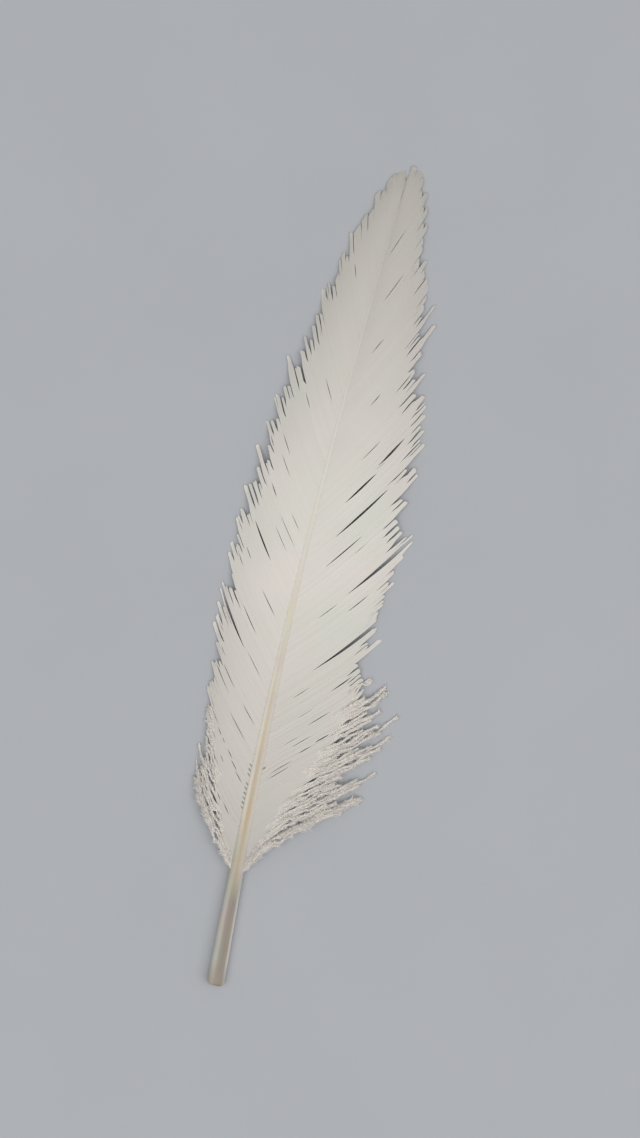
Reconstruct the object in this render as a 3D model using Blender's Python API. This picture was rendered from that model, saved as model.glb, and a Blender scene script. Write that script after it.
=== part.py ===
"""A white ostrich feather, lying with its outer face up.

It grew as one piece, so it is one solid: a quill that runs on as the shaft, and a vane down
each side of it. Each vane is a thin sheet of barbs that splits into locks, and its lowest
barbs are loose down. The quill's flat underside and the barbs' tips lie on the ground, z = 0.
The feather points along +Y, and sizes are in millimetres until a vertex is made.
"""
import math

import bmesh
import bpy

MM = 0.001

# Driving dimensions
VANE_START = 41.0          # bare quill below the lowest barbs
BARB_PITCH = 3.0           # spacing of the barb lines along the shaft
BARB_LINES = 83
SHAFT_BOW = 4.6            # the shaft's middle bows this far to the left
SHAFT_OFFSET = -0.6
SHAFT_RISE = 4.5           # and stands this high off the ground
FEATHER_LENGTH = 300.0
BOX_CENTRE_X = 4.2         # where the middle of the feather's width and length falls
BOX_CENTRE_Y = 149.9

# Shaft: distance from the cut end, width, height
SHAFT_SIZES = (
    (0.0, 6.2, 5.4), (35.0, 5.2, 4.8), (50.0, 4.9, 4.6), (80.0, 4.4, 4.1), (100.0, 4.0, 3.8),
    (130.0, 3.0, 3.1), (150.0, 2.5, 2.7), (200.0, 1.6, 2.0), (287.0, 0.8, 1.2),
)
# Right half of the shaft's section, foot to crown, as shares of its width and height
SECTION = ((0.30, 0.0), (0.45, 0.16), (0.50, 0.42), (0.50, 0.68), (0.43, 0.84), (0.25, 0.97))
ATTACH_LOW = 2             # the points of SECTION that a vane's two faces grow from
ATTACH_HIGH = 3
QUILL_RINGS = (4.0, 14.0, 26.0, 36.0)
FLAT_QUILL = 36.0          # the length of quill that lies flat
# Blunt rounded end of the quill: distance up the quill, size as a share of the quill's
QUILL_END = ((0.0, 0.74), (0.45, 0.92), (1.5, 1.0))
UMBILICUS_SIZE = 0.30      # the small hole in the end, through which the feather was fed
UMBILICUS_DEPTH = 5.0

# Barbs: root along the shaft, angle from the shaft at root, middle and tip, length
BARBS = {
    "right": (
        (41, 28, 52, 46, 51), (50, 32, 53, 46, 54), (60, 38, 52, 45, 55.5), (70, 44, 51, 44, 57),
        (80, 47, 49, 42, 52), (88, 48, 47, 39, 43), (100, 47, 45, 35, 44), (115, 45, 42, 33, 49),
        (130, 43, 39, 32, 55), (145, 40, 36, 30, 56), (160, 38, 34, 28, 57), (180, 35, 31, 26, 54),
        (200, 32, 28, 23, 51), (220, 29, 26, 20, 45), (240, 26, 23, 17, 39), (260, 23, 20, 14, 32),
        (275, 19, 16, 10, 24), (288, 9, 7, 4, 13.7),
    ),
    "left": (
        (41, 42, 41, 14, 37), (50, 47, 39, 22, 37.5), (60, 48, 38, 28, 37), (80, 47, 42, 31, 36.5),
        (90, 47, 42, 33, 37), (108, 46, 39, 31, 41.5), (125, 45, 38, 31, 42.5), (155, 43, 35, 30, 43),
        (170, 40, 33, 28, 42.5), (188, 36, 30, 25, 42.5), (204, 32, 27, 22, 38.5), (220, 29, 25, 18, 37),
        (238, 25, 20, 14, 35), (256, 19, 14, 10, 30.5), (275, 13, 10, 7, 21.5), (288, 6, 5, 3, 11.5),
    ),
}
# Locks: root of the split under each lock, where along the barbs it opens (0 root, 1 rim),
# its width, and how far the lock's lowest strand reaches past (+) or short of (-) the barb length
LOCKS = {
    "right": (
        (48.2, 0.45, 2.0, 0.0), (56.0, 0.50, 1.8, 0.0), (62.0, 0.60, 1.5, 0.5),
        (67.6, 0.60, 1.9, 2.0), (72.8, 0.75, 1.4, -2.0), (76.5, 0.60, 1.3, -3.0),
        (83.4, 0.70, 1.1, 0.0), (86.6, 0.75, 0.5, 0.0), (94.0, 0.75, 0.6, -0.5),
        (101.0, 0.70, 0.8, 0.0), (108.0, 0.30, 0.9, -2.0), (114.0, 0.85, 0.5, 1.0),
        (121.0, 0.85, 0.5, 3.0), (124.6, 0.85, 0.5, 4.5), (127.3, 0.60, 1.0, -1.5),
        (140.5, 0.80, 0.6, -4.0), (146.2, 0.85, 0.5, 0.5), (155.8, 0.85, 0.6, 1.4),
        (159.5, 0.75, 0.5, -1.0), (166.5, 0.60, 0.7, 0.0), (172.4, 0.80, 0.6, 0.0),
        (182.3, 0.85, 0.5, -1.0), (190.5, 0.75, 0.6, -4.5), (196.5, 0.85, 0.5, 3.0),
        (203.5, 0.75, 0.9, 3.5), (210.0, 0.85, 0.4, -2.0), (216.5, 0.85, 0.4, 0.3),
        (225.0, 0.85, 0.5, -1.5), (229.5, 0.85, 0.4, -0.2), (239.5, 0.85, 0.4, -3.7),
        (245.5, 0.85, 0.4, -0.3), (252.5, 0.85, 0.4, 0.0), (260.5, 0.85, 0.4, 0.3),
        (270.5, 0.85, 0.4, -0.5),
    ),
    "left": (
        (45.0, 0.60, 0.6, -0.3), (51.8, 0.70, 0.9, 1.0), (58.5, 0.75, 0.8, 0.4),
        (63.5, 0.75, 0.7, -0.2), (72.0, 0.75, 0.6, 1.2), (82.5, 0.85, 0.5, 0.5),
        (87.0, 0.60, 0.4, -2.5), (90.2, 0.60, 0.5, -0.4), (92.8, 0.75, 0.5, 3.5),
        (97.6, 0.80, 0.4, 2.5), (105.5, 0.45, 0.8, 2.2), (116.0, 0.85, 0.5, 1.5),
        (123.0, 0.75, 0.6, -2.5), (127.8, 0.85, 0.5, 1.5), (131.6, 0.85, 0.5, 0.4),
        (136.6, 0.85, 0.6, 1.9), (148.2, 0.85, 0.6, -3.0), (152.6, 0.85, 0.5, 1.7),
        (157.2, 0.60, 0.5, -5.0), (163.0, 0.75, 0.5, 0.6), (169.0, 0.80, 0.5, -0.2),
        (172.5, 0.80, 0.5, 0.9), (184.0, 0.85, 0.5, 1.5), (188.6, 0.60, 0.5, -5.0),
        (194.0, 0.85, 0.4, -1.0), (202.5, 0.80, 0.4, -1.0), (212.8, 0.85, 0.4, 1.8),
        (218.0, 0.80, 0.4, -0.5), (227.7, 0.85, 0.4, 0.3), (235.3, 0.80, 0.4, 1.4),
        (245.7, 0.85, 0.4, 0.0), (255.5, 0.85, 0.4, 2.0), (266.5, 0.85, 0.4, 2.0),
    ),
}
# Slits inside the vane, closed at both ends: root, opens, closes, width
SLITS = {
    "right": (
        (80.5, 0.15, 0.45, 0.4), (86.6, 0.30, 0.60, 0.4), (92.0, 0.60, 0.90, 0.4),
        (122.5, 0.45, 0.90, 0.5), (144.2, 0.30, 0.60, 0.6), (153.4, 0.30, 0.75, 0.9),
        (164.5, 0.30, 0.60, 0.5), (241.0, 0.30, 0.60, 0.4), (265.0, 0.15, 0.45, 0.4),
    ),
    "left": (
        (68.8, 0.30, 0.60, 0.5), (82.5, 0.15, 0.60, 0.4), (90.2, 0.15, 0.45, 0.4),
        (113.6, 0.30, 0.75, 0.4), (127.8, 0.15, 0.45, 0.4), (139.2, 0.30, 0.75, 0.8),
        (155.0, 0.15, 0.45, 0.3), (167.0, 0.30, 0.75, 0.3), (205.4, 0.15, 0.45, 0.3),
    ),
}
# Places along a barb line where the vane has vertices, as shares of the barb's length. Two more
# follow, halfway from the last of these to the rim and at the rim.
STATIONS = (0.0, 0.15, 0.30, 0.45, 0.60, 0.75)
HALFWAY = len(STATIONS)
RIM = HALFWAY + 1
SIDES = {"right": 1, "left": -1}

# The strand between two barb lines ends in one blunt free tip
NOTCH_DEPTH = 2.0          # the notch beside it
TIP_WIDTH = 0.45           # share of the strand's width that its tip keeps
LOCK_STEP = 3.0            # up a lock, each strand ends this much sooner than the one below
LOCK_DROP = -6.0           # but none falls shorter than this
LONG_BARB = 45.0           # barbs shorter than this have shallower notches and locks
SPLIT_TAPER = 0.7          # a split is this much narrower before it reaches the rim

# Thickness of the vane
RIM_THICKNESS = 0.6
DOWN_THICKNESS = 1.6       # the down is fluffier
DOWN_END = 86.0            # root of the highest downy barbs
BARB_FALL = 1.6            # how late along a barb it falls: 1 is a straight line to the ground
BARB_ARCH = 1.3            # how far the barbs arch above that line
BARB_STEPS = 24            # steps in which a barb's curve is followed

COLOURS = {"barbs": (0.64, 0.61, 0.56), "down": (0.50, 0.46, 0.41), "horn": (0.36, 0.31, 0.23)}
BARB_FACES, DOWN_FACES, HORN_FACES = range(3)


def interpolate(table, y):
    """The row of a table at a distance along the feather, between its two nearest rows."""
    if y <= table[0][0]:
        return table[0][1:]
    for low, high in zip(table, table[1:]):
        if y <= high[0]:
            share = (y - low[0]) / (high[0] - low[0])
            return tuple(a + (b - a) * share for a, b in zip(low[1:], high[1:]))
    return table[-1][1:]


def shaft_centre(y):
    """Where the shaft's middle lies across the feather."""
    return SHAFT_OFFSET - SHAFT_BOW * math.sin(math.pi * y / FEATHER_LENGTH)


def shaft_base(y):
    """Height of the shaft's underside: flat along the quill, then one long low arch."""
    if y <= FLAT_QUILL:
        return 0.0
    share = (y - FLAT_QUILL) / (FEATHER_LENGTH - FLAT_QUILL)
    return SHAFT_RISE * (1 - math.cos(2 * math.pi * share)) / 2


def new_vertex(bm, x, y, z):
    """A vertex in metres, with the middle of the feather's length and width at the origin."""
    return bm.verts.new(((x - BOX_CENTRE_X) * MM, (y - BOX_CENTRE_Y) * MM, z * MM))


def section_points(size):
    """The shaft's section, around from its right foot. A smaller one stays about its middle."""
    around = list(SECTION) + [(0.0, 1.0)] + [(-x, z) for x, z in reversed(SECTION)]
    return [(x * size, 0.5 + (z - 0.5) * size) for x, z in around]


def shaft_ring(bm, y, size=1.0):
    """One ring of vertices around the shaft, at a share of its full size."""
    width, height = interpolate(SHAFT_SIZES, y)
    return [new_vertex(bm, shaft_centre(y) + x_share * width, y, shaft_base(y) + z_share * height)
            for x_share, z_share in section_points(size)]


def join_rings(bm, first, second, open_sides=False):
    """Skin between two rings, left open where the vanes grow from the shaft's sides."""
    count = len(first)
    attach_right = ATTACH_LOW
    attach_left = count - 1 - ATTACH_HIGH
    for k in range(count):
        if open_sides and k in (attach_right, attach_left):
            continue
        n = (k + 1) % count
        face = bm.faces.new((first[k], first[n], second[n], second[k]))
        face.material_index = HORN_FACES


def attach_pair(ring, side):
    """The upper and lower vertex of a ring that a vane on this side grows from."""
    if side == "right":
        return ring[ATTACH_HIGH], ring[ATTACH_LOW]
    return ring[-1 - ATTACH_HIGH], ring[-1 - ATTACH_LOW]


def build_shaft(bm):
    """The quill and the shaft. Returns the shaft's rings, one for each barb line."""
    hole_end = shaft_ring(bm, UMBILICUS_DEPTH, UMBILICUS_SIZE)
    bm.faces.new(hole_end).material_index = HORN_FACES
    skin = [hole_end, shaft_ring(bm, 0.0, UMBILICUS_SIZE)]
    skin += [shaft_ring(bm, y, size) for y, size in QUILL_END]
    skin += [shaft_ring(bm, y) for y in QUILL_RINGS]
    rows = [shaft_ring(bm, VANE_START + BARB_PITCH * i) for i in range(BARB_LINES)]
    skin.append(rows[0])
    for low, high in zip(skin, skin[1:]):
        join_rings(bm, low, high)
    for low, high in zip(rows, rows[1:]):
        join_rings(bm, low, high, open_sides=True)
    return rows


def nearest_line(root):
    """Number of the barb line whose root is nearest."""
    return round((root - VANE_START) / BARB_PITCH)


def line_root(side, i):
    """Root of a barb line. A line that a split or a slit follows is moved to that one's root."""
    for root, *_ in LOCKS[side] + SLITS[side]:
        if nearest_line(root) == i:
            return root
    return VANE_START + BARB_PITCH * i


def barb_point(side, root, out):
    """Where a barb is at a distance out along it: x, y and the angle it runs at.

    The angle from the shaft follows a parabola through its root, middle and tip values.
    """
    at_root, middle, at_tip, length = interpolate(BARBS[side], root)
    width = interpolate(SHAFT_SIZES, root)[0]
    sign = SIDES[side]
    to_side = max(0.0, 1 - out / length)
    x = shaft_centre(root) + sign * width / 2 * to_side ** 2
    y = root
    angle = math.radians(at_root)
    step = out / BARB_STEPS
    for k in range(BARB_STEPS):
        q = min(1.0, step * (k + 0.5) / length)
        angle = math.radians(at_root * 2 * (q - 0.5) * (q - 1) - middle * 4 * q * (q - 1)
                             + at_tip * 2 * q * (q - 0.5))
        x += sign * math.sin(angle) * step
        y += math.cos(angle) * step
    return x, y, angle


def vane_thickness(root, share):
    """Thickness of the vane: the shaft's side sets it at the root, and the rim's by midway."""
    height = interpolate(SHAFT_SIZES, root)[1]
    at_shaft = (SECTION[ATTACH_HIGH][1] - SECTION[ATTACH_LOW][1]) * height
    at_rim = DOWN_THICKNESS if root < DOWN_END else RIM_THICKNESS
    return at_shaft + (at_rim - at_shaft) * min(1.0, 2 * share)


def vane_height(root, share):
    """Height of the vane's middle: from the shaft's side down to the ground at the barb's tip."""
    height = interpolate(SHAFT_SIZES, root)[1]
    attach = (SECTION[ATTACH_LOW][1] + SECTION[ATTACH_HIGH][1]) / 2
    at_shaft = shaft_base(root) + attach * height
    fall = share ** BARB_FALL
    arch = BARB_ARCH * 4 * share * (1 - share)
    return at_shaft * (1 - fall) + vane_thickness(root, 1) / 2 * fall + arch


def vane_pair(bm, side, x, y, root, out):
    """The vertices of a vane's upper and lower face at a distance out along a barb."""
    share = min(1.0, out / interpolate(BARBS[side], root)[3])
    middle = vane_height(root, share)
    half = vane_thickness(root, share) / 2
    return new_vertex(bm, x, y, middle + half), new_vertex(bm, x, y, max(0.0, middle - half))


def split_width(side, i, j):
    """Width of the gap along barb line i at station j, or 0 where the vane is closed."""
    place = STATIONS[j] if j < HALFWAY else 1.0
    for root, opens, width, _ in LOCKS[side]:
        if nearest_line(root) == i and place > opens:
            return width if j == RIM else width * SPLIT_TAPER
    for root, opens, closes, width in SLITS[side]:
        if nearest_line(root) == i and opens < place < closes:
            return width
    return 0.0


def shallowness(side, root):
    """Share of the full depth that notches and locks have among barbs of this length."""
    return min(1.0, (interpolate(BARBS[side], root)[3] / LONG_BARB) ** 2)


def strand_lengths(side):
    """Length of the strand above each barb line, from the locks' reach."""
    lock_starts = {nearest_line(root): reach for root, _, _, reach in LOCKS[side]}
    lengths = []
    reach = LOCK_STEP
    for i in range(BARB_LINES - 1):
        root = line_root(side, i)
        step = LOCK_STEP * shallowness(side, root)
        reach = lock_starts.get(i, max(LOCK_DROP, reach - step))
        lengths.append(interpolate(BARBS[side], root)[3] + reach)
    return lengths


def line_ends(side, lengths, i):
    """How far barb line i runs out for the strand below it and for the strand above it."""
    notch = NOTCH_DEPTH * shallowness(side, line_root(side, i))
    return lengths[max(i - 1, 0)] - notch, lengths[min(i, len(lengths) - 1)] - notch


def station_out(side, root, j, end):
    """Distance of station j out along a barb line that runs to end."""
    length = interpolate(BARBS[side], root)[3]
    if j < HALFWAY:
        return STATIONS[j] * length
    return end if j == RIM else (STATIONS[-1] * length + end) / 2


def build_line(bm, side, i, ring, lengths):
    """One barb line as two lists of vertex pairs, for the strands below and above it."""
    root = line_root(side, i)
    ends = line_ends(side, lengths, i)
    at_shaft = attach_pair(ring, side)
    below = [at_shaft]
    above = [at_shaft]
    for j in range(1, RIM + 1):
        half = split_width(side, i, j) / 2
        if half == 0:
            out = station_out(side, root, j, min(ends))
            x, y, _ = barb_point(side, root, out)
            pair = vane_pair(bm, side, x, y, root, out)
            below.append(pair)
            above.append(pair)
            continue
        for strand, end, way in ((below, ends[0], 1), (above, ends[1], -1)):
            out = station_out(side, root, j, end)
            x, y, angle = barb_point(side, root, out)
            x += way * SIDES[side] * math.cos(angle) * half
            y -= way * math.sin(angle) * half
            strand.append(vane_pair(bm, side, x, y, root, out))
    return below, above


def strand_tip(bm, side, i, length):
    """The two vertex pairs of the blunt tip between barb lines i and i + 1."""
    low, high = line_root(side, i), line_root(side, i + 1)
    pairs = []
    for share in (0.5 - TIP_WIDTH / 2, 0.5 + TIP_WIDTH / 2):
        root = low + (high - low) * share
        x, y, _ = barb_point(side, root, length)
        pairs.append(vane_pair(bm, side, x, y, root, length))
    return pairs


def wall(bm, first, second, kind):
    """The narrow face along an open edge of the vane."""
    face = bm.faces.new((first[0], second[0], second[1], first[1]))
    face.material_index = kind


def close_between(bm, corners, kind):
    """Upper and lower face over the same outline of vertex pairs."""
    bm.faces.new([pair[0] for pair in corners]).material_index = kind
    bm.faces.new([pair[1] for pair in reversed(corners)]).material_index = kind


def strand_kind(i):
    """Material index of the strand above barb line i."""
    return DOWN_FACES if VANE_START + BARB_PITCH * i < DOWN_END else BARB_FACES


def build_strand(bm, side, i, low, high, length):
    """The strip of vane between two barb lines, out to its free tip."""
    kind = strand_kind(i)
    for j in range(RIM):
        close_between(bm, (low[j], low[j + 1], high[j + 1], high[j]), kind)
    tip = strand_tip(bm, side, i, length)
    close_between(bm, (low[-1], tip[0], tip[1], high[-1]), kind)
    wall(bm, low[-1], tip[0], kind)
    wall(bm, tip[0], tip[1], kind)
    wall(bm, tip[1], high[-1], kind)


def split_walls(bm, below, above, kind):
    """Walls along one barb line wherever the strands below and above it have parted."""
    for j in range(RIM):
        if below[j] is above[j] and below[j + 1] is above[j + 1]:
            continue
        wall(bm, below[j], below[j + 1], kind)
        wall(bm, above[j], above[j + 1], kind)


def build_vane(bm, side, rings):
    """One vane. Returns its highest barb line, which the feather's tip is closed from."""
    lengths = strand_lengths(side)
    lines = [build_line(bm, side, i, ring, lengths) for i, ring in enumerate(rings)]
    lowest = lines[0][1]
    for j in range(RIM):
        wall(bm, lowest[j], lowest[j + 1], DOWN_FACES)
    for i, length in enumerate(lengths):
        below, above = lines[i]
        split_walls(bm, below, above, strand_kind(i))
        build_strand(bm, side, i, above, lines[i + 1][0], length)
    return lines[-1][0]


def close_tip(bm, ring, left, right):
    """The web between the two highest barb lines, past the shaft's end, up to a small notch."""
    crown = ring[ATTACH_HIGH:len(ring) - ATTACH_HIGH]
    foot = ring[len(ring) - 1 - ATTACH_LOW:] + ring[:ATTACH_LOW + 1]
    bm.faces.new(crown).material_index = HORN_FACES
    bm.faces.new(foot).material_index = HORN_FACES
    for j in range(HALFWAY):
        close_between(bm, (right[j], right[j + 1], left[j + 1], left[j]), BARB_FACES)
    wall(bm, left[HALFWAY], right[HALFWAY], BARB_FACES)
    wall(bm, left[HALFWAY], left[RIM], BARB_FACES)
    wall(bm, right[HALFWAY], right[RIM], BARB_FACES)


def material(name, colour, roughness):
    new = bpy.data.materials.new(name)
    new.use_nodes = True
    shader = new.node_tree.nodes["Principled BSDF"]
    shader.inputs["Base Color"].default_value = (*colour, 1)
    shader.inputs["Roughness"].default_value = roughness
    shader.inputs["Metallic"].default_value = 0
    return new


def build_feather():
    bm = bmesh.new()
    rings = build_shaft(bm)
    left = build_vane(bm, "left", rings)
    right = build_vane(bm, "right", rings)
    close_tip(bm, rings[-1], left, right)
    bmesh.ops.recalc_face_normals(bm, faces=bm.faces)
    bmesh.ops.triangulate(bm, faces=bm.faces)
    mesh = bpy.data.meshes.new("feather")
    bm.to_mesh(mesh)
    bm.free()
    mesh.materials.append(material("white barb keratin", COLOURS["barbs"], 0.7))
    mesh.materials.append(material("downy barb keratin", COLOURS["down"], 0.8))
    mesh.materials.append(material("cream quill horn", COLOURS["horn"], 0.4))
    mesh.shade_smooth()
    mesh.set_sharp_from_angle(angle=math.radians(35))
    feather = bpy.data.objects.new("feather", mesh)
    bpy.context.scene.collection.objects.link(feather)


for old in list(bpy.data.objects):
    bpy.data.objects.remove(old)
build_feather()
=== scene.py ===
"""A white ostrich feather, lying with its outer face up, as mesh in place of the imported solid.

The feather points along +Y. Its sizes and places are in millimetres, measured across and up the
feather from the quill's cut end, until a mesh is made from them.
"""
import math

import bpy
import numpy as np
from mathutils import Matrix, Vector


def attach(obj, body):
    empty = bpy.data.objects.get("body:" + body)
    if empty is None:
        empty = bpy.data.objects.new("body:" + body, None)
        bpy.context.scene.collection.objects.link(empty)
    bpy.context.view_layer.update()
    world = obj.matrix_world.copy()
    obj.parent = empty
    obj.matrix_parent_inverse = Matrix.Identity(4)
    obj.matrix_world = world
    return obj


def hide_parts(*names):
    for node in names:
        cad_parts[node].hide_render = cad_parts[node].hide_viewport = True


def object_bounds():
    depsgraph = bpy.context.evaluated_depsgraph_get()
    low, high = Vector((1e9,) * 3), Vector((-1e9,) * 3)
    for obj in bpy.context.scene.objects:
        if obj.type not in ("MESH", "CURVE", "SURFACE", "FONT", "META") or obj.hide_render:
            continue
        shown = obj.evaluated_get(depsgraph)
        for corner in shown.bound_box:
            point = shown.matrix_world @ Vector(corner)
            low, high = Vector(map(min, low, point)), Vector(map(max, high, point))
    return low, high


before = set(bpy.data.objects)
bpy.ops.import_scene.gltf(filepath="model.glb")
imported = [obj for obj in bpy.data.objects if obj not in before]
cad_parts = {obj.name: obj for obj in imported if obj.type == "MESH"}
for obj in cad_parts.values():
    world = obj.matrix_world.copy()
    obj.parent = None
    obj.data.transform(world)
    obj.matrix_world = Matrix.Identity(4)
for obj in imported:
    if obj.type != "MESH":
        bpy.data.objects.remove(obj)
cad_low, cad_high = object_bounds()

# The quill and the shaft that it runs on as. It is one tapering tube of horn (keratin), cream and
# a little translucent, with a small hole in its cut end and a furrow along its underside. The
# barbs grow from its two sides.
MM = 0.001
FEATHER_LENGTH = 300.0
CUT_END_FROM_LEFT = 31.8       # the cut end's place, from the left side of the solid's box
FLAT_QUILL = 36.0              # the quill lies flat this far, then the shaft lifts off the ground
SHAFT_BOW = 4.6                # the shaft's middle bows this far to the left
SHAFT_OFFSET = -0.6            # and both its ends lie this far across
SHAFT_RISE = 4.5               # height of its bow off the ground
# Distance up the feather, width, height
SHAFT_SIZES = np.array((
    (0.0, 6.2, 5.4), (35.0, 5.2, 4.8), (50.0, 4.9, 4.6), (80.0, 4.4, 4.1), (100.0, 4.0, 3.8),
    (130.0, 3.0, 3.1), (150.0, 2.5, 2.7), (200.0, 1.6, 2.0), (287.0, 0.8, 1.2), (293.0, 0.3, 0.5),
))
SHAFT_END = 293.0
SHAFT_RING_STEP = 1.2
SHAFT_AROUND = 36
SHAFT_SQUARENESS = 2.5         # 2 is an ellipse, and more is boxier
FLAT_FOOT = 0.05               # share of the height that its flat foot takes off
# Blunt rounded end of the quill: distance up the quill, size as a share of the quill's
QUILL_END = ((5.0, 0.22), (3.0, 0.30), (0.25, 0.30), (0.0, 0.36), (-0.02, 0.60), (0.05, 0.78),
             (0.2, 0.87), (0.5, 0.94), (1.0, 0.98), (1.7, 1.0))
FURROW_START = 48.0
FURROW_FULL = 80.0
FURROW_DEPTH = 0.30            # shares of the shaft's height and width
FURROW_WIDTH = 0.15
SHAFT_TIP_UP = 0.2             # height of the shaft's very tip over its underside
KNIFE_EDGE = math.radians(135)  # edges between faces turned by more than this are not smoothed
# How the horn's colour, and the light and shade painted on it, change up the feather
END_SHADE_START = 0.5              # painted shade on the rounded cut end is strongest up to here
END_SHADE_END = 9.0                # and has faded out by here
END_SHADE_STRENGTH = 0.55
QUILL_SHADES_END = (30.0, 43.0)  # here the quill's painted light and shade give way to the shaft's
PAINTED_LIGHT_SIDES_START = (46.0, 64.0)  # and between these the shaft's sides get painted light
WHITENING_START = 62.0
CREAM_SHAFT_END = 150.0        # the shaft has turned as white as the barbs by here


def smooth_step(value, start, end):
    """0 before start, 1 after end, and a smooth rise between them."""
    share = np.clip((value - start) / (end - start), 0.0, 1.0)
    return share * share * (3 - 2 * share)


def shaft_centre(y):
    """Where the shaft's middle lies across the feather."""
    return SHAFT_OFFSET - SHAFT_BOW * np.sin(math.pi * y / FEATHER_LENGTH)


def shaft_base(y):
    """Height of the shaft's underside: flat along the quill, then one long low arch."""
    share = np.clip((y - FLAT_QUILL) / (FEATHER_LENGTH - FLAT_QUILL), 0.0, 1.0)
    return SHAFT_RISE * (1 - np.cos(2 * math.pi * share)) / 2


def column(table, number, y):
    """One column of a table at a distance up the feather."""
    return np.interp(y, table[:, 0], table[:, number])


def skin(rings, tips):
    """Points and faces of closed limbs.

    rings is (limbs, stations, points around, 3). Each limb has a cap at its foot, and runs to a
    point at its tip.
    """
    limbs, stations, around, _ = rings.shape
    here = np.arange(limbs * stations * around).reshape(limbs, stations, around)
    beside = np.roll(here, -1, axis=2)
    sides = np.stack((here[:, :-1], beside[:, :-1], beside[:, 1:], here[:, 1:]), axis=-1)
    point = np.broadcast_to(here.size + np.arange(limbs)[:, None], (limbs, around))
    fans = np.stack((here[:, -1], beside[:, -1], point), axis=-1)
    faces = sides.reshape(-1, 4).tolist() + fans.reshape(-1, 3).tolist()
    faces += here[:, 0, ::-1].tolist()
    return np.concatenate((rings.reshape(-1, 3), tips)), faces


def make_piece(name, points, faces, material, readings):
    """An object from points in millimetres. readings are the numbers its material reads."""
    cut_end = np.array((cad_low.x / MM + CUT_END_FROM_LEFT, cad_low.y / MM, cad_low.z / MM))
    mesh = bpy.data.meshes.new(name)
    mesh.from_pydata((points + cut_end) * MM, [], faces)
    mesh.shade_smooth()
    mesh.set_sharp_from_angle(angle=KNIFE_EDGE)
    for reading, values in readings.items():
        attribute = mesh.attributes.new(reading, "FLOAT", "POINT")
        attribute.data.foreach_set("value", np.asarray(values, dtype=np.float32).ravel())
    mesh.materials.append(material)
    piece = bpy.data.objects.new(name, mesh)
    bpy.context.scene.collection.objects.link(piece)
    return piece


def shaft_mesh():
    """Rings from inside the hole in the cut end, out around the end and up to the tip."""
    up_shaft = np.arange(QUILL_END[-1][0] + SHAFT_RING_STEP, SHAFT_END, SHAFT_RING_STEP)
    y = np.concatenate(([at for at, _ in QUILL_END], up_shaft))[:, None]
    size = np.concatenate(([size for _, size in QUILL_END], np.ones(len(up_shaft))))[:, None]
    width = column(SHAFT_SIZES, 1, y)
    height = column(SHAFT_SIZES, 2, y)
    turn = np.arange(SHAFT_AROUND)[None, :] * 2 * math.pi / SHAFT_AROUND
    power = 2 / SHAFT_SQUARENESS
    across = -np.sign(np.cos(turn)) * np.abs(np.cos(turn)) ** power / 2
    up = (1 + np.sign(np.sin(turn)) * np.abs(np.sin(turn)) ** power) / 2
    up = (np.maximum(up, FLAT_FOOT) - FLAT_FOOT) / (1 - FLAT_FOOT)
    furrow = FURROW_DEPTH * np.exp(-(across / FURROW_WIDTH) ** 2) * (up < 0.5)
    up = up + furrow * smooth_step(y, FURROW_START, FURROW_FULL)
    middle = 0.5
    x = shaft_centre(y) + across * size * width
    z = shaft_base(y) + (middle + (up - middle) * size) * height
    rings = np.stack((x, np.broadcast_to(y, x.shape), z), axis=-1)[None]
    tip = np.array([[shaft_centre(SHAFT_END), SHAFT_END, shaft_base(SHAFT_END) + SHAFT_TIP_UP]])
    points, faces = skin(rings, tip)
    side = np.append(np.broadcast_to(across * 2, x.shape).ravel(), 0.0)
    return points, faces, {"side": side, "up_feather": points[:, 1]}


def colour(code):
    """An sRGB hex colour as linear red, green, blue and alpha."""
    parts = [int(code[k:k + 2], 16) / 255 for k in (0, 2, 4)]
    linear = [p / 12.92 if p <= 0.04045 else ((p + 0.055) / 1.055) ** 2.4 for p in parts]
    return (*linear, 1.0)


def grey(level):
    """A level from 0 to 1 as the colour of a ramp's stop."""
    return (level, level, level, 1.0)


def add(tree, kind, links=None, stops=None, **settings):
    """Adds a node. links gives its sockets a value or another node's output."""
    node = tree.nodes.new(kind)
    for name, value in settings.items():
        setattr(node, name, value)
    for socket, value in (links or {}).items():
        if isinstance(value, bpy.types.NodeSocket):
            tree.links.new(value, node.inputs[socket])
        else:
            node.inputs[socket].default_value = value
    if stops:
        elements = node.color_ramp.elements
        for _ in stops[2:]:
            elements.new(1.0)
        for element, (place, shade) in zip(elements, stops):
            element.position = place
            element.color = shade
    return node


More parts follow.
